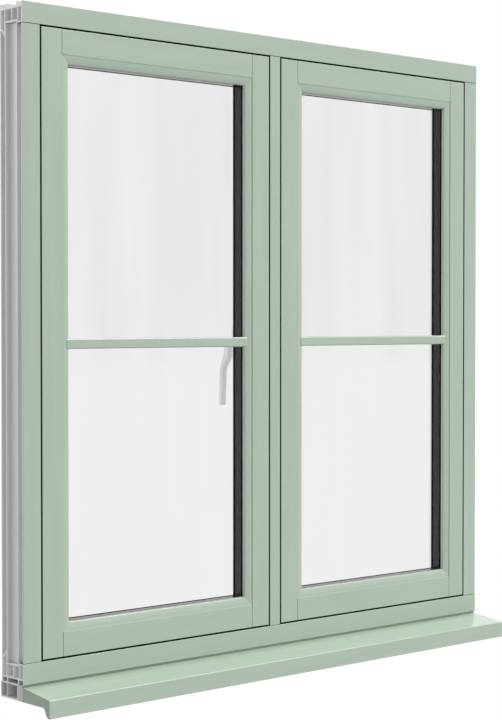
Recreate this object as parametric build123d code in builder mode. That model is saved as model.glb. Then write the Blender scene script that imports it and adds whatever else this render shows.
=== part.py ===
from build123d import *
from math import atan2, degrees
import os

# Flush sash window: two casements side by side in a plastic frame that stands on a sill.
# X runs across the window from its middle, Y runs indoors from the frame's outside face,
# and Z runs up from the bedding face under the sill. All sizes are in millimetres.

# Overall frame
frame_width = 1200.0
frame_height = 1200.0
frame_depth = 68.0
joint_gap = 0.8

# Frame profile
frame_face = 38.0
mullion_face = 27.0
leg_depth = 14.0
rebate_drop = 4.0
upstand_front = 52.0
upstand_rise = 20.7
upstand_land = 1.5
rear_rise = 6.3
rear_land = 3.0
front_arris = 1.2
profile_wall = 2.6
divider_wall = 1.8
leg_divider_depth = 14.4
middle_divider_depth = 33.0
channel_depth = 8.0
fin_wall = 2.6
front_fin_depth = 17.0
rear_fin_depth = 51.5

# Sill
sill_height = 29.0
sill_depth = 71.5
sill_projection = 78.0
sill_step_depth = 4.0
sill_step_drop = 3.5
nose_drop = 13.9
nose_height = 33.0
nose_arris = 1.6
drip_lip = 9.0
drip_lip_rise = 3.0
drip_run = 8.5
sill_front_divider = -30.0
sill_middle_divider = 20.0
sill_rear_divider = 52.0
end_cap_thickness = 3.0

# Sash profile
shadow_gap = 3.0
sash_face = 44.0
sash_depth = 58.0
sash_arris = 1.0
sash_clearance = 3.0
seal_gap = 4.0
seal_width = 8.0
seal_inset = 6.0
sash_divider_depth = 24.0
bead_width = 16.5
bead_quirk = 1.0
bead_drop = 5.0
bead_nose = 2.5
bead_back = 6.6

# Glazing
pane_thickness = 4.0
glass_cavity = 20.0
glass_cover = 14.0
spacer_cover = 11.0
outer_gasket_thickness = 3.4
inner_gasket_thickness = 1.0
gasket_width = 8.0
gasket_lip = 0.6
inner_bead_land = 0.6
inner_bead_edge = 0.8

# Astragal bars across the middle of each pane
astragal_width = 18.5
astragal_front = 1.5
astragal_bevel = 2.0
inner_astragal_depth = 8.0

# Handles
handle_base_width = 20.0
handle_base_height = 72.0
handle_base_thickness = 9.0
handle_base_bevel = 2.5
handle_clearance = 0.3
hub_radius = 9.0
hub_height = 26.5
hub_bevel = 1.5
lever_width = 12.0
lever_round = 2.5
lever_top = 7.0
lever_drop = 127.5
neck_thickness = 15.5
grip_thickness = 11.5
tip_thickness = 10.0
tip_radius = 3.0
grip_out = 40.0
grip_flare = 1.9
outer_crank_start = 20.0
inner_crank_start = 30.0
crank_end = 54.0
crank_radius = 30.0

# Places that follow from the sizes above
frame_base = sill_height
frame_top = frame_base + frame_height
frame_box = (-frame_width / 2, frame_width / 2, frame_base, frame_top)
sash_set_in = frame_face + shadow_gap
sash_low = frame_base + sash_set_in
sash_high = frame_top - sash_set_in
sash_outer_x = frame_width / 2 - sash_set_in
sash_inner_x = mullion_face / 2 + shadow_gap
sash_middle_z = (sash_low + sash_high) / 2
sash_flange_back = upstand_front - seal_gap
sash_step = upstand_rise - shadow_gap + sash_clearance
sight_line = sash_face + bead_width
bead_edge = bead_quirk + bead_drop
bead_run = bead_width - bead_nose
bead_sweep = (bead_run**2 + bead_drop**2 - bead_nose**2) / (2 * (bead_drop - bead_nose))
bead_turn = degrees(atan2(bead_run, bead_sweep - bead_drop))
glass_front = bead_back + outer_gasket_thickness
glass_back = glass_front + 2 * pane_thickness + glass_cavity
inner_bead_front = glass_back + inner_gasket_thickness
sash_sides = ("left", "right", "top", "bottom")
sash_boxes = {
    "left": (-sash_outer_x, -sash_inner_x, sash_low, sash_high),
    "right": (sash_inner_x, sash_outer_x, sash_low, sash_high),
}

os.makedirs("parts", exist_ok=True)


def write_piece(piece, name):
    """Label a finished piece and write it to its own file."""
    piece.part.label = name
    export_step(piece.part, f"parts/{name}.step")


def edge_plane(side, box):
    """Plane at one end of a rectangle's edge: x points into the rectangle, y indoors, z along the edge."""
    left, right, low, high = box
    if side == "left":
        return Plane(origin=(left, 0, low), x_dir=(1, 0, 0), z_dir=(0, 0, 1))
    if side == "right":
        return Plane(origin=(right, 0, high), x_dir=(-1, 0, 0), z_dir=(0, 0, -1))
    if side == "top":
        return Plane(origin=(left, 0, high), x_dir=(0, 0, -1), z_dir=(1, 0, 0))
    return Plane(origin=(right, 0, low), x_dir=(0, 0, 1), z_dir=(-1, 0, 0))


def face_plane(side, box):
    """Plane on the outside face at the same end: x points into the rectangle and y runs along the edge."""
    edge = edge_plane(side, box)
    return Plane(origin=edge.origin, x_dir=edge.x_dir, z_dir=(0, -1, 0))


def edge_length(side, box):
    """Length of one edge of a rectangle."""
    left, right, low, high = box
    return high - low if side in ("left", "right") else right - left


def inset_box(box, inset):
    """Rectangle moved in by the same distance on all four edges."""
    left, right, low, high = box
    return (left + inset, right - inset, low + inset, high - inset)


# Profiles


def chamber_section(outline, divider_depths):
    """Hollows inside a profile's outer wall, parted by dividers at the given depths."""
    reach = 4 * frame_depth
    with BuildSketch() as chambers:
        with BuildLine():
            Polyline(*outline, close=True)
        make_face()
        offset(amount=-profile_wall, kind=Kind.INTERSECTION, mode=Mode.REPLACE)
        for depth in divider_depths:
            with Locations((0, depth)):
                Rectangle(reach, divider_wall, mode=Mode.SUBTRACT)
    return chambers.sketch


def rebate_outline(leg_edge):
    """The side of a frame profile that faces a sash, from the front face to the rear face."""
    web = leg_edge - rebate_drop
    peak = leg_edge + upstand_rise
    return [
        (leg_edge, 0),
        (leg_edge, leg_depth),
        (web, leg_depth + rebate_drop),
        (web, upstand_front),
        (peak, upstand_front),
        (peak, upstand_front + upstand_land),
        (leg_edge + rear_rise, frame_depth - rear_land),
        (leg_edge + rear_rise, frame_depth),
    ]


upstand_divider_depth = upstand_front + profile_wall - divider_wall / 2
frame_dividers = (leg_divider_depth, middle_divider_depth, upstand_divider_depth)
frame_outline = [(channel_depth, 0), *rebate_outline(frame_face), (channel_depth, frame_depth)]
mullion_side = rebate_outline(mullion_face / 2)
mullion_outline = mullion_side + [(-x, y) for x, y in reversed(mullion_side)]
fin_depths = (fin_wall / 2, front_fin_depth, rear_fin_depth, frame_depth - fin_wall / 2)

with BuildSketch() as frame_section:
    with BuildLine():
        Polyline(*frame_outline, close=True)
    make_face()
    add(chamber_section(frame_outline, frame_dividers), mode=Mode.SUBTRACT)
    for fin_depth in fin_depths:
        with Locations((channel_depth / 2, fin_depth)):
            Rectangle(channel_depth, fin_wall)
    fillet(frame_section.vertices().group_by(Axis.Y)[0], radius=front_arris)

with BuildSketch() as mullion_section:
    with BuildLine():
        Polyline(*mullion_outline, close=True)
    make_face()
    add(chamber_section(mullion_outline, frame_dividers), mode=Mode.SUBTRACT)
    fillet(mullion_section.vertices().group_by(Axis.Y)[0], radius=front_arris)

# What an upright is cut back by where it is scribed over the head or the bottom rail
with BuildSketch() as scribe_section:
    with BuildLine():
        Polyline(*frame_outline, close=True)
    make_face()
    offset(amount=joint_gap, kind=Kind.INTERSECTION, mode=Mode.REPLACE)
    with Locations((0, frame_depth / 2)):
        Rectangle(2 * channel_depth, 2 * frame_depth)

sash_body_outline = [
    (0, 0),
    (sash_face, 0),
    (sash_face, sash_depth),
    (sash_step, sash_depth),
    (sash_step, sash_flange_back),
    (0, sash_flange_back),
]

with BuildSketch() as sash_section:
    with BuildLine():
        Polyline(*sash_body_outline, close=True)
    make_face()
    with BuildLine():
        CenterArc((sash_face, bead_quirk + bead_sweep), bead_sweep, -90, bead_turn)
        CenterArc((sight_line - bead_nose, bead_edge), bead_nose, bead_turn - 90, 90 - bead_turn)
        Polyline(
            (sight_line, bead_edge),
            (sight_line, bead_back),
            (sash_face, bead_back),
            (sash_face, bead_quirk),
        )
    make_face()
    add(
        chamber_section(sash_body_outline, (sash_divider_depth, sash_flange_back)),
        mode=Mode.SUBTRACT,
    )

with BuildSketch() as inner_bead_section:
    with BuildLine():
        Polyline(
            (0, inner_bead_front),
            (bead_width, inner_bead_front),
            (bead_width, inner_bead_front + inner_bead_land),
            (inner_bead_edge, sash_depth),
            (0, sash_depth),
            close=True,
        )
    make_face()

sill_top_front = sill_height - sill_step_drop
nose_top = sill_height - nose_drop
nose_bottom = nose_top - nose_height
drip_back = drip_lip - sill_projection
sill_outline = [
    (sill_depth, 0),
    (sill_depth, sill_height),
    (sill_step_depth, sill_height),
    (sill_step_depth, sill_top_front),
    (-sill_projection, nose_top),
    (-sill_projection, nose_bottom),
    (drip_back, nose_bottom + drip_lip_rise),
    (drip_back + drip_run, 0),
]

with BuildSketch() as sill_solid_section:
    with BuildLine():
        Polyline(*sill_outline, close=True)
    make_face()
    fillet(sill_solid_section.vertices().group_by(Axis.X)[0], radius=nose_arris)

with BuildSketch() as sill_chambers:
    with BuildLine():
        Polyline(*sill_outline, close=True)
    make_face()
    offset(amount=-profile_wall, kind=Kind.INTERSECTION, mode=Mode.REPLACE)
    for divider in (sill_front_divider, sill_middle_divider, sill_rear_divider):
        with Locations((divider, 0)):
            Rectangle(divider_wall, 4 * sill_height, mode=Mode.SUBTRACT)


# Head and bottom rail run the full width


def make_rail(side):
    """One full-width member of the frame, with its hollow ends open."""
    with BuildPart() as rail:
        with BuildSketch(edge_plane(side, frame_box)):
            add(frame_section.sketch)
        extrude(amount=frame_width)
    return rail


write_piece(make_rail("top"), "frame_head")
write_piece(make_rail("bottom"), "frame_bottom_rail")


# Jambs and mullion stand between them, scribed over the rails' inner faces


def make_upright(section, plane):
    """One upright of the frame, cut at both ends to the shape of the rails."""
    with BuildPart() as upright:
        with BuildSketch(plane):
            add(section)
        extrude(amount=frame_height)
        for end in ("top", "bottom"):
            with BuildSketch(edge_plane(end, frame_box)):
                add(scribe_section.sketch)
            extrude(amount=frame_width, mode=Mode.SUBTRACT)
    return upright


write_piece(make_upright(frame_section.sketch, edge_plane("left", frame_box)), "left_jamb")
write_piece(make_upright(frame_section.sketch, edge_plane("right", frame_box)), "right_jamb")
write_piece(make_upright(mullion_section.sketch, Plane.XY.offset(frame_base)), "mullion")

# Sill: a hollow profile, notched at both ends for the caps that close its front
sill_plane = Plane(origin=(-frame_width / 2, 0, 0), x_dir=(0, 1, 0), z_dir=(1, 0, 0))
cap_planes = {"left": sill_plane, "right": sill_plane.offset(frame_width - end_cap_thickness)}
cap_zone_length = sill_projection + sill_middle_divider
cap_zone_middle = sill_middle_divider - cap_zone_length / 2


def make_end_cap(plane):
    """A plate of the sill's outline that closes the sill's front chambers."""
    with BuildPart() as cap:
        with BuildSketch(plane):
            add(sill_solid_section.sketch)
            with Locations((cap_zone_middle, 0)):
                Rectangle(cap_zone_length, 4 * sill_height, mode=Mode.INTERSECT)
        extrude(amount=end_cap_thickness)
    return cap


with BuildPart() as sill:
    with BuildSketch(sill_plane):
        add(sill_solid_section.sketch)
        add(sill_chambers.sketch, mode=Mode.SUBTRACT)
    extrude(amount=frame_width)
    for plane in cap_planes.values():
        with BuildSketch(plane):
            with Locations((cap_zone_middle, 0)):
                Rectangle(cap_zone_length, 4 * sill_height)
        extrude(amount=end_cap_thickness, mode=Mode.SUBTRACT)

write_piece(sill, "sill")
for side, plane in cap_planes.items():
    write_piece(make_end_cap(plane), f"{side}_sill_end_cap")


# Sash members: stiles run the full height, rails butt between them, and the glazing bead is mitred


def outer_front_edges(member, box):
    """The edges of a sash member's outside face that lie along the sash's outline."""
    left, right, low, high = box
    edges = []
    for edge in member.edges().group_by(Axis.Y)[0]:
        middle = edge.center()
        to_outline = min(middle.X - left, right - middle.X, middle.Z - low, high - middle.Z)
        if to_outline < sash_arris:
            edges.append(edge)
    return edges


def make_stile(side, box):
    """One sash upright, mitred at the rails' beads and notched at both ends to clear the upstand."""
    length = edge_length(side, box)
    with BuildPart() as stile:
        with BuildSketch(edge_plane(side, box)):
            add(sash_section.sketch)
        extrude(amount=length)
        with BuildSketch(face_plane(side, box)):
            for end, way in ((0, 1), (length, -1)):
                with BuildLine():
                    Polyline(
                        (sash_face, end),
                        (sash_face, end + way * sash_face),
                        (sight_line, end + way * sight_line),
                        (sight_line, end),
                        close=True,
                    )
                make_face()
        extrude(amount=-bead_back, mode=Mode.SUBTRACT)
        with BuildSketch(face_plane(side, box).offset(-sash_flange_back)):
            with Locations((sash_face / 2, sash_step / 2), (sash_face / 2, length - sash_step / 2)):
                Rectangle(sash_face, sash_step)
        extrude(amount=sash_flange_back - sash_depth, mode=Mode.SUBTRACT)
        fillet(outer_front_edges(stile, box), radius=sash_arris)
    return stile


def make_sash_rail(side, box):
    """One sash cross member between the stiles, with its bead mitred at both ends."""
    length = edge_length(side, box)
    start = sash_face + joint_gap
    with BuildPart() as rail:
        with BuildSketch(edge_plane(side, box).offset(start)):
            add(sash_section.sketch)
        extrude(amount=length - 2 * start)
        with BuildSketch(face_plane(side, box)):
            for end, way in ((0, 1), (length, -1)):
                with BuildLine():
                    Polyline(
                        (start, end + way * start),
                        (sight_line, end + way * sight_line),
                        (sight_line, end + way * start),
                        close=True,
                    )
                make_face()
        extrude(amount=-bead_back, mode=Mode.SUBTRACT)
        fillet(outer_front_edges(rail, box), radius=sash_arris)
    return rail


def make_inner_bead(side, box):
    """One bevelled indoor bead that holds the glass, mitred at both ends."""
    length = edge_length(side, box)
    with BuildPart() as bead:
        with BuildSketch(edge_plane(side, box)):
            add(inner_bead_section.sketch)
        extrude(amount=length)
        with BuildSketch(face_plane(side, box)):
            for end, way in ((0, 1), (length, -1)):
                with BuildLine():
                    Polyline(
                        (0, end),
                        (bead_width, end + way * bead_width),
                        (bead_width, end),
                        close=True,
                    )
                make_face()
        extrude(amount=-sash_depth, mode=Mode.SUBTRACT)
    return bead


# Flat sheets and rings that lie in the plane of the window


def upright_plane(box, depth):
    """Plane across the middle of a rectangle at a depth from the outside face, facing indoors."""
    left, right, low, high = box
    return Plane(origin=((left + right) / 2, depth, (low + high) / 2), x_dir=(1, 0, 0), z_dir=(0, 1, 0))


def make_sheet(box, depth, thickness):
    """A rectangular sheet."""
    left, right, low, high = box
    with BuildPart() as sheet:
        with BuildSketch(upright_plane(box, depth)):
            Rectangle(right - left, high - low)
        extrude(amount=thickness)
    return sheet


def make_rings(outer, inner, layers):
    """Rectangular rings of one outline, one for each depth and thickness."""
    with BuildPart() as rings:
        for depth, thickness in layers:
            with BuildSketch(upright_plane(outer, depth)):
                Rectangle(outer[1] - outer[0], outer[3] - outer[2])
                Rectangle(inner[1] - inner[0], inner[3] - inner[2], mode=Mode.SUBTRACT)
            extrude(amount=thickness)
    return rings


def make_astragal(box, face_depth, back_depth, bevel_way):
    """A bar across the middle of a pane, bevelled along the two edges of its face."""
    glass_box = inset_box(box, sight_line + gasket_lip)
    half = astragal_width / 2
    bevel = bevel_way * astragal_bevel
    with BuildPart() as bar:
        plane = Plane(origin=(glass_box[0], 0, sash_middle_z), x_dir=(0, 1, 0), z_dir=(1, 0, 0))
        with BuildSketch(plane):
            with BuildLine():
                Polyline(
                    (back_depth, half),
                    (face_depth + bevel, half),
                    (face_depth, half - astragal_bevel),
                    (face_depth, astragal_bevel - half),
                    (face_depth + bevel, -half),
                    (back_depth, -half),
                    close=True,
                )
            make_face()
        extrude(amount=glass_box[1] - glass_box[0])
    return bar


# Handles


def make_handle_base(axis_x):
    """Bevelled plate with round ends on the sash's indoor face."""
    with BuildPart() as base:
        plane = Plane(origin=(axis_x, sash_depth, sash_middle_z), x_dir=(1, 0, 0), z_dir=(0, 1, 0))
        with BuildSketch(plane):
            SlotOverall(handle_base_height, handle_base_width, rotation=90)
        extrude(amount=handle_base_thickness)
        chamfer(base.edges().group_by(Axis.Y)[-1], length=handle_base_bevel)
    return base


lever_outline = [
    (hub_height, lever_top),
    (hub_height, -outer_crank_start),
    (grip_out, -crank_end),
    (grip_out + grip_flare, -lever_drop),
    (grip_out + grip_flare - tip_thickness, -lever_drop),
    (grip_out - grip_thickness, -crank_end),
    (hub_height - neck_thickness, -inner_crank_start),
    (hub_height - neck_thickness, lever_top),
]
lever_radii = [tip_radius, crank_radius, crank_radius, tip_radius] * 2


def make_handle_lever(axis_x):
    """Cranked, tapering lever on a round hub, hanging straight down when the sash is shut."""
    hub_foot = (axis_x, sash_depth + handle_base_thickness + handle_clearance, sash_middle_z)
    side_plane = Plane(origin=hub_foot, x_dir=(0, 1, 0), z_dir=(1, 0, 0))
    with BuildPart() as lever:
        with BuildSketch(side_plane):
            with BuildLine():
                FilletPolyline(*lever_outline, radius=lever_radii, close=True)
            make_face()
        extrude(amount=lever_width / 2, both=True)
        fillet(lever.faces().filter_by(Axis.X).edges(), radius=lever_round)
        with BuildSketch(side_plane) as hub_profile:
            with Locations((hub_height / 2, hub_radius / 2)):
                Rectangle(hub_height, hub_radius)
            chamfer(hub_profile.vertices().group_by(Axis.X)[-1].sort_by(Axis.Y)[-1], length=hub_bevel)
        revolve(axis=Axis(hub_foot, (0, 1, 0)))
    return lever


for name, box in sash_boxes.items():
    for side in ("left", "right"):
        write_piece(make_stile(side, box), f"{name}_sash_{side}_stile")
    for side in ("top", "bottom"):
        write_piece(make_sash_rail(side, box), f"{name}_sash_{side}_rail")
    bead_box = inset_box(box, sash_face)
    for side in sash_sides:
        write_piece(make_inner_bead(side, bead_box), f"{name}_sash_{side}_bead")

    sight_box = inset_box(box, sight_line)
    pane_box = inset_box(sight_box, -glass_cover)
    spacer_box = inset_box(sight_box, -spacer_cover)
    cavity_front = glass_front + pane_thickness
    inner_pane_front = cavity_front + glass_cavity
    write_piece(make_sheet(pane_box, glass_front, pane_thickness), f"{name}_sash_outer_pane")
    write_piece(make_sheet(pane_box, inner_pane_front, pane_thickness), f"{name}_sash_inner_pane")
    write_piece(make_rings(spacer_box, sight_box, [(cavity_front, glass_cavity)]), f"{name}_sash_spacer")

    lip_box = inset_box(sight_box, gasket_lip)
    gasket_box = inset_box(sight_box, -gasket_width)
    gasket_layers = [(bead_back, outer_gasket_thickness), (glass_back, inner_gasket_thickness)]
    write_piece(make_rings(gasket_box, lip_box, gasket_layers), f"{name}_sash_glazing_gasket")

    seal_box = inset_box(box, seal_inset)
    seal_inner_box = inset_box(seal_box, seal_width)
    write_piece(make_rings(seal_box, seal_inner_box, [(sash_flange_back, seal_gap)]), f"{name}_weather_seal")

    inner_astragal_back = glass_back + inner_astragal_depth
    write_piece(make_astragal(box, astragal_front, glass_front, 1), f"{name}_outer_astragal")
    write_piece(make_astragal(box, inner_astragal_back, glass_back, -1), f"{name}_inner_astragal")

handle_from_edge = (sash_step + sash_face) / 2
for name, way in (("left", -1), ("right", 1)):
    axis_x = way * (sash_inner_x + handle_from_edge)
    write_piece(make_handle_base(axis_x), f"{name}_handle_base")
    write_piece(make_handle_lever(axis_x), f"{name}_handle_lever")
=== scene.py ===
import math

import bmesh
import bpy
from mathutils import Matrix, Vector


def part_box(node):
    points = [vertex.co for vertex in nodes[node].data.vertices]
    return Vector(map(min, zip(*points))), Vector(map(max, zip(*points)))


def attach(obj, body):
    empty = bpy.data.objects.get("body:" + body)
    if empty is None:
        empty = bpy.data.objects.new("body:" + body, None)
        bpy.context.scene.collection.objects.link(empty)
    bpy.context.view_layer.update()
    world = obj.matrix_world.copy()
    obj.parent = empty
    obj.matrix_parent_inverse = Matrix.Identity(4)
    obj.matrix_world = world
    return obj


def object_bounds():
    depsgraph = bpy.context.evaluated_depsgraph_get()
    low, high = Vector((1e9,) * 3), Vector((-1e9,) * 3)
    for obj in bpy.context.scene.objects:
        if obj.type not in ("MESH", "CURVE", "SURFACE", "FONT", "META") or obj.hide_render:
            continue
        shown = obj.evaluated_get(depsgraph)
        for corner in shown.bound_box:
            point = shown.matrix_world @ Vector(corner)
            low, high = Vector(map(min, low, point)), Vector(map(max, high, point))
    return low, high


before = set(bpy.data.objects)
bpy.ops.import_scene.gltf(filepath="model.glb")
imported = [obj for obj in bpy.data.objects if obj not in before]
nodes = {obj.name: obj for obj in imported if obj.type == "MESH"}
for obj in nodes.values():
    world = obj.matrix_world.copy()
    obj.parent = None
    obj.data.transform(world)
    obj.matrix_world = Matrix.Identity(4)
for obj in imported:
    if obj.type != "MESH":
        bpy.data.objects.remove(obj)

MM = 0.001
cad_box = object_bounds()


def grey(value):
    """A grey colour."""
    return (value, value, value, 1)


# Frame profile, in metres
FRAME_FACE = 38 * MM
MULLION_HALF = 13.5 * MM
REBATE_DROP = 4 * MM
LEG_DEPTH = 18.2 * MM
FRONT_SKIN = 1.5 * MM
RIB_TIP = 0.5 * MM
RIB_HEIGHT = 6 * MM
CHANNEL_DEPTH = 9 * MM
CHANNEL_FRONT = 18 * MM
CHANNEL_BACK = 51 * MM

# Sash profile and its beads
SASH_FACE = 44 * MM
BEAD_WIDTH = 16.5 * MM
BEAD_BACK = 6.7 * MM
BEAD_QUIRK = 1 * MM
BEAD_DROP = 5 * MM
BEAD_NOSE = 2.5 * MM
INNER_BEAD_LAND = 39.6 * MM
INNER_BEAD_EDGE = 0.8 * MM

# Glazing
OUTER_GASKET_BACK = 11 * MM
GASKET_LIP = 0.6 * MM
GASKET_LIP_END = 9 * MM
GASKET_LIP_BLEND = 0.3 * MM
SPACER_FRONT = 14 * MM
SPACER_BACK = 34 * MM
SEALANT_SHARE = 0.075
GLASS_BLEND = 40 * MM

# Sill and its end caps
SILL_STEP = 4.1 * MM
SILL_BACK = 71 * MM
SILL_SLOPE_LOW = 12 * MM
DRIP_BACK = -60 * MM
CAP_FOIL_END = 4 * MM
CAP_FOIL_BLEND = 2 * MM

# Scribed ends of the astragals
ASTRAGAL_BEVEL = 2 * MM
SCRIBE_STEPS = 24
SCRIBE_EDGE = 1 * MM
MERGE_DISTANCE = 0.001 * MM

# How near an edge a face lies when the edge's finish reaches it
FOIL_EDGE = 0.1 * MM
# Faces within GAP_EDGE of a sash's edge, and rail ends within JOINT of a stile, carry painted shade
GAP_EDGE = 0.3 * MM
JOINT = 1 * MM

# How far a face's normal points along an axis
SQUARE_ON = 0.9
HALF_TURNED = 0.5
REBATE_TURN = 0.3
EDGE_TURN = 0.1
# Front arrises that point outdoors less than GAP_TURN at a gap, or less than SILL_JOINT_TURN on the rail
# above the sill, carry painted shade
GAP_TURN = 0.65
SILL_JOINT_TURN = 0.9

# Which way each member runs
FRAME_MEMBERS = {
    "frame_head": "X",
    "frame_bottom_rail": "X",
    "left_jamb": "Z",
    "right_jamb": "Z",
    "mullion": "Z",
}
SASH_MEMBERS = {"left_stile": "Z", "right_stile": "Z", "top_rail": "X", "bottom_rail": "X"}
BEADS = {"left_bead": "Z", "right_bead": "Z", "top_bead": "X", "bottom_bead": "X"}

# Camera, from lines of the photograph
IMAGE_HEIGHT = 720
FOCAL_PIXELS = 1766
SENSOR = 36.0
CAMERA_PLACE = (-2.3641, -2.5649, 0.6712)
CAMERA_YAW = 41.882
CAMERA_PITCH = 1.288

# Studio
SEEN_RAYS = ["Is Camera Ray", "Is Glossy Ray", "Is Transmission Ray"]
FLOOR_DROP = 0.50
FLOOR_SIZE = 40.0
FLOOR_SHOWN = 0.90
FLOOR_BOUNCE = 0.50
FLOOR_NEAR = 0.8
FLOOR_FAR = 1.6
WORLD_SHOWN = 1.0
WORLD_FILL = 0.68
KEY_DIRECTION = (0.42, -0.305, 0.855)
KEY_DISTANCE = 20.0
KEY_SIZE = 13.3
KEY_POWER = 3960.0
BACK_DIRECTION = (-0.38, 0.86, 0.34)
BACK_DISTANCE = 9.0
BACK_SIZE = 6.0
BACK_POWER = 260.0

# Colours, linear
WHITE = grey(1.0)
FOIL_DARK = (0.390, 0.481, 0.394, 1)
FOIL_LIGHT = (0.420, 0.513, 0.424, 1)
# Painted shade: a near-black green for the faces in the gaps and joints, standing in for the deep shade
# there
PAINTED_SHADE_DARK = (0.012, 0.028, 0.013, 1)
PAINTED_SHADE_LIGHT = (0.022, 0.050, 0.023, 1)
# Painted shade: the end caps' green and grey are darker copies of the foil and the white plastic, standing
# in for the shade on the sill's ends
CAP_PAINTED_SHADE_DARK = (0.246, 0.304, 0.250, 1)
CAP_PAINTED_SHADE_LIGHT = (0.271, 0.331, 0.275, 1)
CAP_PAINTED_SHADE_GREY_DARK = grey(0.42)
CAP_PAINTED_SHADE_GREY_LIGHT = grey(0.48)
PVC_DARK = (0.76, 0.76, 0.755, 1)
PVC_LIGHT = (0.84, 0.84, 0.835, 1)
# Painted shade and painted light: a greyer copy of the white plastic for the wall sides, ribs and cut ends,
# and a paler copy for the grooves, where it offsets their shade
PAINTED_SHADE_PVC_DARK = grey(0.60)
PAINTED_SHADE_PVC_LIGHT = grey(0.66)
PAINTED_LIGHT_PVC_DARK = grey(0.84)
PAINTED_LIGHT_PVC_LIGHT = grey(0.90)
# Painted reflection: the glass is greyer and faintly streaked in its upper half, paler below
GLASS_PAINTED_REFLECTION_DARK = (0.890, 0.890, 0.893, 1)
GLASS_PAINTED_REFLECTION_LIGHT = (0.926, 0.926, 0.929, 1)
GLASS_PLAIN = (0.934, 0.934, 0.936, 1)
GLASS_CLEAR = grey(0.99)
RUBBER_DARK = grey(0.010)
RUBBER_LIGHT = grey(0.020)
SPACER_DARK = grey(0.003)
SPACER_LIGHT = grey(0.007)
GASKET_DARK = (0.50, 0.54, 0.50, 1)
GASKET_LIGHT = (0.58, 0.63, 0.58, 1)
# Painted shade: a darker band on the gasket lip's front edge, a shadow line beside the bead
GASKET_PAINTED_SHADE_DARK = grey(0.30)
GASKET_PAINTED_SHADE_LIGHT = grey(0.36)
HANDLE_DARK = grey(0.92)
HANDLE_LIGHT = grey(0.95)

# Roughness, from the smoothest to the roughest place
FOIL_ROUGHNESS = (0.18, 0.27)
JOINT_ROUGHNESS = (0.75, 0.95)
CAP_ROUGHNESS = (0.40, 0.52)
PVC_ROUGHNESS = (0.30, 0.42)
GLASS_ROUGHNESS = 0.0
RUBBER_ROUGHNESS = (0.55, 0.75)
SPACER_ROUGHNESS = 0.16
SEALANT_ROUGHNESS = 1.0
GASKET_ROUGHNESS = (0.55, 0.70)
HANDLE_ROUGHNESS = (0.14, 0.20)

# Gloss
FOIL_COAT = 0.5
FOIL_COAT_ROUGHNESS = 0.12
HANDLE_COAT = 1.0
HANDLE_COAT_ROUGHNESS = 0.05
JOINT_SPECULAR = 0.1
RUBBER_SPECULAR = 0.2
SPACER_SPECULAR = 0.42
GLASS_IOR = 1.1

# Relief: how strong and how deep
FOIL_RELIEF = (0.12, 0.2 * MM)
CAP_RELIEF = (0.05, 0.2 * MM)
PVC_RELIEF = (0.08, 0.2 * MM)
SPACER_RELIEF = (0.04, 0.2 * MM)
RUBBER_RELIEF = (0.15, 0.3 * MM)
GASKET_RELIEF = (0.10, 0.3 * MM)
HANDLE_RELIEF = (0.05, 0.3 * MM)

# Noise: cells in a metre, along a profile and across it, or on each axis
FOIL_MOTTLE = (3.0, 40.0)
FOIL_GRAIN = (60.0, 1800.0)
PVC_LINES = (1.5, 350.0)
PVC_FINE = (20.0, 2200.0)
PAINTED_SHADE_MOTTLE = (90.0, 90.0, 90.0)
CAP_MOTTLE = (40.0, 40.0, 40.0)
GLASS_PAINTED_REFLECTION_STREAKS = (16.0, 16.0, 2.0)
RUBBER_BLOOM = (400.0, 400.0, 400.0)
SPACER_STIPPLE = (900.0, 900.0, 900.0)
GASKET_BLOOM = (300.0, 300.0, 300.0)
HANDLE_PEEL = (700.0, 700.0, 700.0)
NOISE_ROUGHNESS = 0.55
RAMP_START = 0.3
RAMP_END = 0.7


# Material helpers


def new_material(name):
    """A node material with its node tree's parts at hand."""
    material = bpy.data.materials.new(name)
    material.use_nodes = True
    tree = material.node_tree
    return material, tree.nodes, tree.links, tree.nodes["Principled BSDF"]


def noise(parts, links, scale, detail):
    """Noise on the part's own coordinates, stretched by a scale for each axis."""
    place = parts.new("ShaderNodeTexCoord")
    mapping = parts.new("ShaderNodeMapping")
    mapping.inputs["Scale"].default_value = scale
    texture = parts.new("ShaderNodeTexNoise")
    texture.inputs["Scale"].default_value = 1.0
    texture.inputs["Detail"].default_value = detail
    texture.inputs["Roughness"].default_value = NOISE_ROUGHNESS
    links.new(place.outputs["Object"], mapping.inputs["Vector"])
    links.new(mapping.outputs["Vector"], texture.inputs["Vector"])
    return texture.outputs["Fac"]


def drawn_out(direction, cells):
    """Noise scale that is drawn out along one axis."""
    lengthwise, crosswise = cells
    return tuple(lengthwise if axis == direction else crosswise for axis in "XYZ")


def ramp(parts, links, factor, low, high):
    """A colour that runs from low to high over the middle of a factor's range."""
    node = parts.new("ShaderNodeValToRGB")
    first, last = node.color_ramp.elements
    first.position = RAMP_START
    first.color = low
    last.position = RAMP_END
    last.color = high
    links.new(factor, node.inputs["Fac"])
    return node.outputs["Color"]


def along(parts, links, axis, start, end):
    """A factor that runs from 0 to 1 between two places on an axis."""
    place = parts.new("ShaderNodeTexCoord")
    axes = parts.new("ShaderNodeSeparateXYZ")
    fade = parts.new("ShaderNodeMapRange")
    fade.inputs["From Min"].default_value = start
    fade.inputs["From Max"].default_value = end
    links.new(place.outputs["Object"], axes.inputs[0])
    links.new(axes.outputs[axis], fade.inputs["Value"])
    return fade.outputs["Result"]


def blend(parts, links, factor, first, second):
    """A mix of two colours by a factor."""
    mix = parts.new("ShaderNodeMixRGB")
    links.new(factor, mix.inputs["Fac"])
    links.new(first, mix.inputs["Color1"])
    links.new(second, mix.inputs["Color2"])
    return mix.outputs["Color"]


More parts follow.
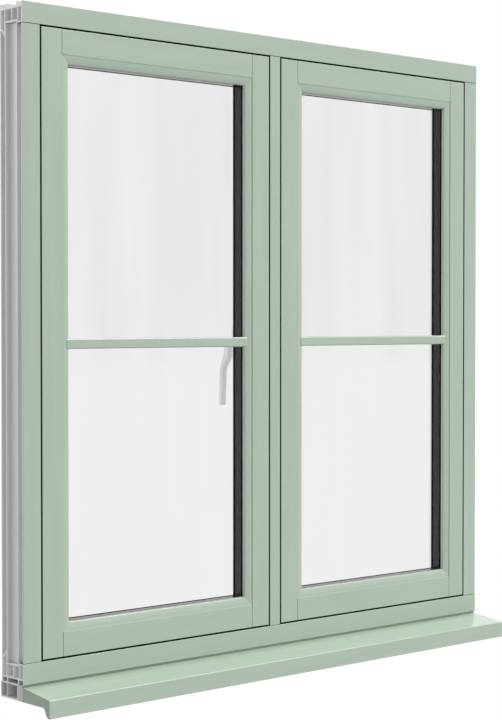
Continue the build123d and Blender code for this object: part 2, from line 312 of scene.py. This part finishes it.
def mix_shaders(parts, links, factor, first, second):
    """A mix of two shaders by a factor."""
    mix = parts.new("ShaderNodeMixShader")
    links.new(factor, mix.inputs["Fac"])
    links.new(first.outputs[0], mix.inputs[1])
    links.new(second.outputs[0], mix.inputs[2])
    return mix


def any_ray(parts, links, kinds):
    """A factor that is 1 for any of several kinds of ray."""
    path = parts.new("ShaderNodeLightPath")
    factor = path.outputs[kinds[0]]
    for kind in kinds[1:]:
        larger = parts.new("ShaderNodeMath")
        larger.operation = "MAXIMUM"
        links.new(factor, larger.inputs[0])
        links.new(path.outputs[kind], larger.inputs[1])
        factor = larger.outputs[0]
    return factor


def add_roughness(parts, links, shader, factor, limits):
    """Roughness that follows a factor between two limits."""
    smooth, rough = limits
    links.new(ramp(parts, links, factor, grey(smooth), grey(rough)), shader.inputs["Roughness"])


def add_relief(parts, links, shader, height, relief):
    """Surface relief from a height."""
    strength, distance = relief
    bump = parts.new("ShaderNodeBump")
    bump.inputs["Strength"].default_value = strength
    bump.inputs["Distance"].default_value = distance
    links.new(height, bump.inputs["Height"])
    links.new(bump.outputs["Normal"], shader.inputs["Normal"])


# Materials


def foil_material(direction):
    """Sage green foil with a fine embossed grain along the profile, under a clear top layer."""
    material, parts, links, shader = new_material(f"green_foil_{direction}")
    mottle = noise(parts, links, drawn_out(direction, FOIL_MOTTLE), detail=4.0)
    links.new(ramp(parts, links, mottle, FOIL_DARK, FOIL_LIGHT), shader.inputs["Base Color"])
    grain = noise(parts, links, drawn_out(direction, FOIL_GRAIN), detail=2.0)
    add_roughness(parts, links, shader, grain, FOIL_ROUGHNESS)
    add_relief(parts, links, shader, grain, FOIL_RELIEF)
    shader.inputs["Coat Weight"].default_value = FOIL_COAT
    shader.inputs["Coat Roughness"].default_value = FOIL_COAT_ROUGHNESS
    return material


def painted_shade_material():
    """Painted shade: a near-black mottled green for the faces in the gaps and joints, standing in for their
    deep shade.
    """
    material, parts, links, shader = new_material("painted_joint_shade")
    shade_mottle = noise(parts, links, PAINTED_SHADE_MOTTLE, detail=4.0)
    links.new(ramp(parts, links, shade_mottle, PAINTED_SHADE_DARK, PAINTED_SHADE_LIGHT), shader.inputs["Base Color"])
    add_roughness(parts, links, shader, shade_mottle, JOINT_ROUGHNESS)
    shader.inputs["Specular IOR Level"].default_value = JOINT_SPECULAR
    return material


def end_cap_material():
    """Foil green round the nose of the sill's end cap, bare plastic behind it, both darkened as painted
    shade.
    """
    material, parts, links, shader = new_material("sill_end_cap")
    mottle = noise(parts, links, CAP_MOTTLE, detail=4.0)
    green = ramp(parts, links, mottle, CAP_PAINTED_SHADE_DARK, CAP_PAINTED_SHADE_LIGHT)
    bare = ramp(parts, links, mottle, CAP_PAINTED_SHADE_GREY_DARK, CAP_PAINTED_SHADE_GREY_LIGHT)
    behind = along(parts, links, "Y", CAP_FOIL_END, CAP_FOIL_END + CAP_FOIL_BLEND)
    links.new(blend(parts, links, behind, green, bare), shader.inputs["Base Color"])
    add_roughness(parts, links, shader, mottle, CAP_ROUGHNESS)
    add_relief(parts, links, shader, mottle, CAP_RELIEF)
    return material


def pvc_material(name, direction, dark, light):
    """Plastic with faint draw lines along the profile."""
    material, parts, links, shader = new_material(f"{name}_{direction}")
    lines = noise(parts, links, drawn_out(direction, PVC_LINES), detail=3.0)
    links.new(ramp(parts, links, lines, dark, light), shader.inputs["Base Color"])
    fine = noise(parts, links, drawn_out(direction, PVC_FINE), detail=2.0)
    add_roughness(parts, links, shader, fine, PVC_ROUGHNESS)
    add_relief(parts, links, shader, fine, PVC_RELIEF)
    return material


def glass_material():
    """Clear float glass with a painted reflection, greyer and faintly streaked above the astragals, which
    lets the lamps' light through.
    """
    material, parts, links, shader = new_material("clear_glass")
    reflection_streaks = noise(parts, links, GLASS_PAINTED_REFLECTION_STREAKS, detail=1.0)
    upper = ramp(parts, links, reflection_streaks, GLASS_PAINTED_REFLECTION_DARK, GLASS_PAINTED_REFLECTION_LIGHT)
    lower = ramp(parts, links, reflection_streaks, GLASS_PAINTED_REFLECTION_LIGHT, GLASS_PLAIN)
    # Painted reflection: darker above the middle of the window than below
    middle = (cad_box[0][2] + cad_box[1][2]) / 2
    height = along(parts, links, "Z", middle - GLASS_BLEND, middle + GLASS_BLEND)
    links.new(blend(parts, links, height, lower, upper), shader.inputs["Base Color"])
    shader.inputs["Roughness"].default_value = GLASS_ROUGHNESS
    shader.inputs["IOR"].default_value = GLASS_IOR
    shader.inputs["Transmission Weight"].default_value = 1.0
    clear = parts.new("ShaderNodeBsdfTransparent")
    clear.inputs["Color"].default_value = GLASS_CLEAR
    passing = any_ray(parts, links, ["Is Shadow Ray", "Is Diffuse Ray"])
    mix = mix_shaders(parts, links, passing, shader, clear)
    links.new(mix.outputs["Shader"], parts["Material Output"].inputs["Surface"])
    return material


def rubber_material():
    """Black gasket rubber, slightly bloomed."""
    material, parts, links, shader = new_material("black_rubber")
    bloom = noise(parts, links, RUBBER_BLOOM, detail=4.0)
    links.new(ramp(parts, links, bloom, RUBBER_DARK, RUBBER_LIGHT), shader.inputs["Base Color"])
    add_roughness(parts, links, shader, bloom, RUBBER_ROUGHNESS)
    shader.inputs["Specular IOR Level"].default_value = RUBBER_SPECULAR
    add_relief(parts, links, shader, bloom, RUBBER_RELIEF)
    return material


def spacer_material():
    """Glossy black spacer bar with a fine stipple, between two matt lines of sealant."""
    material, parts, links, shader = new_material("black_spacer")
    stipple = noise(parts, links, SPACER_STIPPLE, detail=2.0)
    links.new(ramp(parts, links, stipple, SPACER_DARK, SPACER_LIGHT), shader.inputs["Base Color"])
    depth = parts.new("ShaderNodeValToRGB")
    depth.color_ramp.interpolation = "CONSTANT"
    edge, middle = depth.color_ramp.elements
    edge.color = grey(SEALANT_ROUGHNESS)
    middle.position = SEALANT_SHARE
    middle.color = grey(SPACER_ROUGHNESS)
    depth.color_ramp.elements.new(1 - SEALANT_SHARE).color = grey(SEALANT_ROUGHNESS)
    links.new(along(parts, links, "Y", SPACER_FRONT, SPACER_BACK), depth.inputs["Fac"])
    links.new(depth.outputs["Color"], shader.inputs["Roughness"])
    shader.inputs["Specular IOR Level"].default_value = SPACER_SPECULAR
    add_relief(parts, links, shader, stipple, SPACER_RELIEF)
    return material


def gasket_material():
    """Glazing gasket with a pale grey lip, a band of painted shade on its front edge, on a black body."""
    material, parts, links, shader = new_material("grey_gasket")
    bloom = noise(parts, links, GASKET_BLOOM, detail=4.0)
    lip = ramp(parts, links, bloom, GASKET_DARK, GASKET_LIGHT)
    body = ramp(parts, links, bloom, RUBBER_DARK, RUBBER_LIGHT)
    # Painted shade along the lip's front edge
    front = ramp(parts, links, bloom, GASKET_PAINTED_SHADE_DARK, GASKET_PAINTED_SHADE_LIGHT)
    past_painted_shade = along(parts, links, "Y", BEAD_BACK, BEAD_BACK + GASKET_LIP_BLEND)
    past_lip = along(parts, links, "Y", GASKET_LIP_END, GASKET_LIP_END + GASKET_LIP_BLEND)
    outer = blend(parts, links, past_painted_shade, front, lip)
    links.new(blend(parts, links, past_lip, outer, body), shader.inputs["Base Color"])
    add_roughness(parts, links, shader, bloom, GASKET_ROUGHNESS)
    add_relief(parts, links, shader, bloom, GASKET_RELIEF)
    return material


def handle_material():
    """White gloss paint with a faint orange peel."""
    material, parts, links, shader = new_material("white_handle_paint")
    peel = noise(parts, links, HANDLE_PEEL, detail=1.0)
    links.new(ramp(parts, links, peel, HANDLE_DARK, HANDLE_LIGHT), shader.inputs["Base Color"])
    add_roughness(parts, links, shader, peel, HANDLE_ROUGHNESS)
    add_relief(parts, links, shader, peel, HANDLE_RELIEF)
    shader.inputs["Coat Weight"].default_value = HANDLE_COAT
    shader.inputs["Coat Roughness"].default_value = HANDLE_COAT_ROUGHNESS
    return material


foil = {direction: foil_material(direction) for direction in "XZ"}
pvc = {direction: pvc_material("white_plastic", direction, PVC_DARK, PVC_LIGHT) for direction in "XZ"}
# Greyer and paler copies of the white plastic: painted shade and painted light
painted_shade_pvc = {direction: pvc_material("painted_shade_grey", direction, PAINTED_SHADE_PVC_DARK, PAINTED_SHADE_PVC_LIGHT) for direction in "XZ"}
painted_light_pvc = {direction: pvc_material("painted_light_pale", direction, PAINTED_LIGHT_PVC_DARK, PAINTED_LIGHT_PVC_LIGHT) for direction in "XZ"}
painted_joint_shade = painted_shade_material()
end_cap = end_cap_material()
glass = glass_material()
rubber = rubber_material()
spacer = spacer_material()
grey_gasket = gasket_material()
handle_paint = handle_material()


# Which material each face of a node has


def paint(node, materials, choose=None):
    """Give a node its materials, and each face the one chosen by name, or else the first."""
    mesh = nodes[node].data
    mesh.materials.clear()
    for material in materials.values():
        mesh.materials.append(material)
    places = {name: place for place, name in enumerate(materials)}
    for polygon in mesh.polygons:
        polygon.material_index = places[choose(polygon, mesh)] if choose else 0


def into_opening(node, polygon):
    """A face's distance in from the frame's edge, and how far its normal points that way."""
    centre, normal = polygon.center, polygon.normal
    if node == "mullion":
        side = math.copysign(1, centre.x)
        return FRAME_FACE - MULLION_HALF + abs(centre.x), side * normal.x
    low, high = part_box(node)
    if node == "left_jamb":
        return centre.x - low.x, normal.x
    if node == "right_jamb":
        return high.x - centre.x, -normal.x
    if node == "frame_head":
        return high.z - centre.z, -normal.z
    return centre.z - low.z, normal.z


def deepest(polygon, mesh):
    """The depth of a face's furthest corner from the outside face."""
    return max(mesh.vertices[index].co.y for index in polygon.vertices)


def foil_turn(facing, above_sill):
    """How far a face at the frame's front has to point outdoors to be foil; at a gap or above the sill,
    faces that point less get painted shade.
    """
    if above_sill:
        return SILL_JOINT_TURN
    return GAP_TURN if facing > 0 else EDGE_TURN


def frame_chooser(node, direction):
    """Foil outside, painted shade beside the sash and above the sill, white indoors, a greyer painted shade
    on the wall side, paler paint as painted light in the grooves.
    """
    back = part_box(node)[1].y
    length_axis = "XYZ".index(direction)

    def choose(polygon, mesh):
        centre, normal = polygon.center, polygon.normal
        inward, facing = into_opening(node, polygon)
        above_sill = node == "frame_bottom_rail" and facing < 0
        # Painted shade on the front arrises turned into a gap or down above the sill, and on the leg faces
        # beside the sash
        if centre.y < FRONT_SKIN and normal.y < -foil_turn(facing, above_sill):
            return "foil"
        if centre.y < FRONT_SKIN and above_sill:
            return "shade"
        rebate = inward > FRAME_FACE - REBATE_DROP - FOIL_EDGE and facing > REBATE_TURN
        if rebate and deepest(polygon, mesh) < LEG_DEPTH:
            return "shade"
        if rebate or centre.y > back - FOIL_EDGE:
            return "white"
        cut = abs(normal[length_axis]) > SQUARE_ON
        to_wall = facing < -SQUARE_ON
        tip = to_wall and inward < RIB_TIP
        channel = to_wall and inward < CHANNEL_DEPTH and CHANNEL_FRONT < centre.y < CHANNEL_BACK
        roof = node == "frame_head" and normal.z > SQUARE_ON
        flank = abs(normal.y) > HALF_TURNED and inward < RIB_HEIGHT
        # Painted shade grey on cut ends, rib tips and flanks, the wide channel and the head's top; painted
        # light on the other faces here
        return "painted_shade_pvc" if cut or tip or channel or roof or flank else "pale"

    return choose


def sash_chooser(low, high):
    """Foil on a sash's outside face and bead, painted shade on its edges and at its joints, plastic on the
    rest.
    """

    def choose(polygon, mesh):
        centre, normal = polygon.center, polygon.normal
        across = min(centre.x - low.x, high.x - centre.x)
        inward = min(across, centre.z - low.z, high.z - centre.z)
        joint = abs(normal.x) > SQUARE_ON and abs(across - SASH_FACE) < JOINT
        if joint or (inward < GAP_EDGE and normal.y > -GAP_TURN):
            return "shade"
        bead_side = inward > SASH_FACE + FOIL_EDGE
        outside = centre.y < BEAD_BACK and (normal.y < -EDGE_TURN or bead_side)
        return "foil" if outside else "white"

    return choose


def sill_chooser(polygon, mesh):
    """Foil on the sill's slope, nose and drip, white on its indoor face, painted shade grey on the rest."""
    centre, normal = polygon.center, polygon.normal
    slope = normal.z > HALF_TURNED and centre.z > SILL_SLOPE_LOW and centre.y < SILL_STEP
    nose = normal.y < -EDGE_TURN and (centre.y < DRIP_BACK or centre.z > SILL_SLOPE_LOW)
    drip = normal.z < -EDGE_TURN and centre.y < DRIP_BACK
    if slope or nose or drip:
        return "foil"
    return "white" if normal.y > SQUARE_ON and centre.y > SILL_BACK else "painted_shade_pvc"


def cap_chooser(polygon, mesh):
    """The end cap's painted-shade colours on its end, foil round its nose."""
    wrapped = abs(polygon.normal.x) < HALF_TURNED and polygon.center.y < CAP_FOIL_END
    return "foil" if wrapped else "cap"


def spacer_chooser(polygon, mesh):
    """Sealant on the spacer's faces against the glass."""
    return "sealant" if abs(polygon.normal.y) > SQUARE_ON else "bar"


def gasket_chooser(polygon, mesh):
    """Grey lip outside, black gasket indoors."""
    return "lip" if polygon.center.y < OUTER_GASKET_BACK else "black"


def paint_sash(side):
    """Materials of one sash and of what it carries."""
    low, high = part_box(f"{side}_sash_left_stile")[0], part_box(f"{side}_sash_right_stile")[1]
    for piece, direction in SASH_MEMBERS.items():
        finishes = {"foil": foil[direction], "shade": painted_joint_shade, "white": pvc[direction]}
        paint(f"{side}_sash_{piece}", finishes, sash_chooser(low, high))
    for piece, direction in BEADS.items():
        paint(f"{side}_sash_{piece}", {"white": pvc[direction]})
    paint(f"{side}_outer_astragal", {"foil": foil["X"]})
    paint(f"{side}_inner_astragal", {"white": pvc["X"]})
    paint(f"{side}_sash_outer_pane", {"glass": glass})
    paint(f"{side}_sash_inner_pane", {"glass": glass})
    paint(f"{side}_sash_spacer", {"bar": spacer, "sealant": rubber}, spacer_chooser)
    paint(f"{side}_sash_glazing_gasket", {"lip": grey_gasket, "black": rubber}, gasket_chooser)
    paint(f"{side}_weather_seal", {"rubber": rubber})
    paint(f"{side}_handle_base", {"paint": handle_paint})
    paint(f"{side}_handle_lever", {"paint": handle_paint})


for name, direction in FRAME_MEMBERS.items():
    finishes = {
        "foil": foil[direction],
        "shade": painted_joint_shade,
        "white": pvc[direction],
        "painted_shade_pvc": painted_shade_pvc[direction],
        "pale": painted_light_pvc[direction],
    }
    paint(name, finishes, frame_chooser(name, direction))

paint("sill", {"foil": foil["X"], "white": pvc["X"], "painted_shade_pvc": painted_shade_pvc["X"]}, sill_chooser)
for side in ("left", "right"):
    paint(f"{side}_sill_end_cap", {"cap": end_cap, "foil": foil["X"]}, cap_chooser)
    paint_sash(side)


# Scribed ends of the astragals, which close the space between a bar's end and the bead it dies into


def outer_bead_depth(run):
    """Depth of the outside bead's surface at a distance across it."""
    sweep_run = BEAD_WIDTH - BEAD_NOSE
    sweep = (sweep_run**2 + BEAD_DROP**2 - BEAD_NOSE**2) / (2 * (BEAD_DROP - BEAD_NOSE))
    turn = sweep * sweep_run / math.hypot(sweep_run, sweep - BEAD_DROP)
    if run < turn:
        return BEAD_QUIRK + sweep - math.sqrt(sweep**2 - run**2)
    past = min(run - sweep_run, BEAD_NOSE)
    return BEAD_QUIRK + BEAD_DROP - math.sqrt(BEAD_NOSE**2 - past**2)


def inner_bead_depth(run):
    """Depth of the indoor bead's slope at a distance across it."""
    sash_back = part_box("left_sash_left_stile")[1].y
    share = max(BEAD_WIDTH - run, 0) / (BEAD_WIDTH - INNER_BEAD_EDGE)
    return INNER_BEAD_LAND + share * (sash_back - INNER_BEAD_LAND)


def scribe_ring(place, face, way, gap, middle, half):
    """One section of a scribed end: the bar's bevelled outline, as deep as the bead allows."""
    bevel = min(gap, ASTRAGAL_BEVEL)
    face_half = half - ASTRAGAL_BEVEL
    edge_half = face_half + bevel
    corners = [(gap, edge_half), (bevel, edge_half), (0, face_half)]
    mirrored = [(depth, -height) for depth, height in reversed(corners)]
    return [(place, face + way * depth, middle + height) for depth, height in corners + mirrored]


def scribe_rings(bar, end, way, bead_depth):
    """The sections of a scribed end, from its thin edge on the bead to the bar's own end."""
    low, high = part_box(bar)
    face = low.y if way > 0 else high.y
    end_x = low.x if end == "left" else high.x
    outward = -1 if end == "left" else 1
    reach = BEAD_WIDTH + GASKET_LIP
    rings = []
    for step in range(SCRIBE_STEPS + 1):
        run = reach * step / SCRIBE_STEPS
        gap = way * (bead_depth(run) - face)
        if gap > SCRIBE_EDGE:
            place = end_x + outward * (reach - run)
            rings.append(scribe_ring(place, face, way, gap, (low.z + high.z) / 2, (high.z - low.z) / 2))
    return rings


def make_scribe(bar, end, way, bead_depth, material):
    """A wedge that carries a bar's outline on from its end to the bead's surface."""
    work = bmesh.new()
    rings = [[work.verts.new(point) for point in ring] for ring in scribe_rings(bar, end, way, bead_depth)]
    for first, second in zip(rings, rings[1:]):
        for corner in range(len(first)):
            after = (corner + 1) % len(first)
            work.faces.new((first[corner], first[after], second[after], second[corner]))
    work.faces.new(rings[0])
    work.faces.new(rings[-1])
    bmesh.ops.remove_doubles(work, verts=work.verts, dist=MERGE_DISTANCE)
    bmesh.ops.recalc_face_normals(work, faces=work.faces)
    mesh = bpy.data.meshes.new(f"{bar}_{end}_scribe")
    work.to_mesh(mesh)
    work.free()
    mesh.materials.append(material)
    piece = bpy.data.objects.new(mesh.name, mesh)
    bpy.context.scene.collection.objects.link(piece)
    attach(piece, "window")


for side in ("left", "right"):
    for end in ("left", "right"):
        make_scribe(f"{side}_outer_astragal", end, 1, outer_bead_depth, foil["X"])
        make_scribe(f"{side}_inner_astragal", end, -1, inner_bead_depth, pvc["X"])


# Studio: pale floor, white surroundings, a large soft lamp high in front and a weaker one indoors


def make_world():
    """White to look at, dimmer as a light."""
    world = bpy.data.worlds.new("studio")
    bpy.context.scene.world = world
    world.use_nodes = True
    parts, links = world.node_tree.nodes, world.node_tree.links
    parts.clear()
    fill = parts.new("ShaderNodeBackground")
    fill.inputs["Color"].default_value = WHITE
    fill.inputs["Strength"].default_value = WORLD_FILL
    shown = parts.new("ShaderNodeBackground")
    shown.inputs["Color"].default_value = WHITE
    shown.inputs["Strength"].default_value = WORLD_SHOWN
    mix = mix_shaders(parts, links, any_ray(parts, links, SEEN_RAYS), fill, shown)
    output = parts.new("ShaderNodeOutputWorld")
    links.new(mix.outputs[0], output.inputs["Surface"])


def floor_material():
    """Pale near the object's shadow, fading into the white surroundings, and dimmer as a light."""
    material = bpy.data.materials.new("pale_floor")
    material.use_nodes = True
    parts, links = material.node_tree.nodes, material.node_tree.links
    parts.clear()
    near = parts.new("ShaderNodeBsdfDiffuse")
    near.inputs["Color"].default_value = grey(FLOOR_SHOWN)
    far = parts.new("ShaderNodeEmission")
    far.inputs["Color"].default_value = WHITE
    bounce = parts.new("ShaderNodeBsdfDiffuse")
    bounce.inputs["Color"].default_value = grey(FLOOR_BOUNCE)
    place = parts.new("ShaderNodeTexCoord")
    distance = parts.new("ShaderNodeVectorMath")
    distance.operation = "LENGTH"
    links.new(place.outputs["Object"], distance.inputs[0])
    fade = parts.new("ShaderNodeMapRange")
    fade.interpolation_type = "SMOOTHSTEP"
    fade.inputs["From Min"].default_value = FLOOR_NEAR
    fade.inputs["From Max"].default_value = FLOOR_FAR
    links.new(distance.outputs["Value"], fade.inputs["Value"])
    shown = mix_shaders(parts, links, fade.outputs["Result"], near, far)
    mix = mix_shaders(parts, links, any_ray(parts, links, SEEN_RAYS), bounce, shown)
    output = parts.new("ShaderNodeOutputMaterial")
    links.new(mix.outputs[0], output.inputs["Surface"])
    return material


def make_floor():
    """A pale floor below the sill."""
    bpy.ops.mesh.primitive_plane_add(size=FLOOR_SIZE, location=(0, 0, cad_box[0][2] - FLOOR_DROP))
    floor = bpy.context.object
    floor.name = "floor"
    floor.data.materials.append(floor_material())


def make_lamp(name, direction, distance, size, power):
    """A large soft lamp that shines at the middle of the window and doesn't show through the glass."""
    lamp = bpy.data.lights.new(name, "AREA")
    lamp.shape = "SQUARE"
    lamp.size = size
    lamp.energy = power
    holder = bpy.data.objects.new(name, lamp)
    holder.visible_transmission = False
    bpy.context.scene.collection.objects.link(holder)
    middle = [(low + high) / 2 for low, high in zip(*cad_box)]
    holder.location = [m + d * distance for m, d in zip(middle, direction)]
    holder.rotation_euler = Vector(direction).to_track_quat("Z", "Y").to_euler()


def make_camera():
    """The photograph's view."""
    lens = bpy.data.cameras.new("camera")
    lens.sensor_fit = "VERTICAL"
    lens.sensor_height = SENSOR
    lens.lens = FOCAL_PIXELS / IMAGE_HEIGHT * SENSOR
    camera = bpy.data.objects.new("camera", lens)
    bpy.context.scene.collection.objects.link(camera)
    camera.location = CAMERA_PLACE
    camera.rotation_euler = (math.radians(90 - CAMERA_PITCH), 0, math.radians(-CAMERA_YAW))
    bpy.context.scene.camera = camera


make_world()
make_floor()
make_lamp("key", KEY_DIRECTION, KEY_DISTANCE, KEY_SIZE, KEY_POWER)
make_lamp("back", BACK_DIRECTION, BACK_DISTANCE, BACK_SIZE, BACK_POWER)
make_camera()
bpy.context.scene.view_settings.view_transform = "Standard"
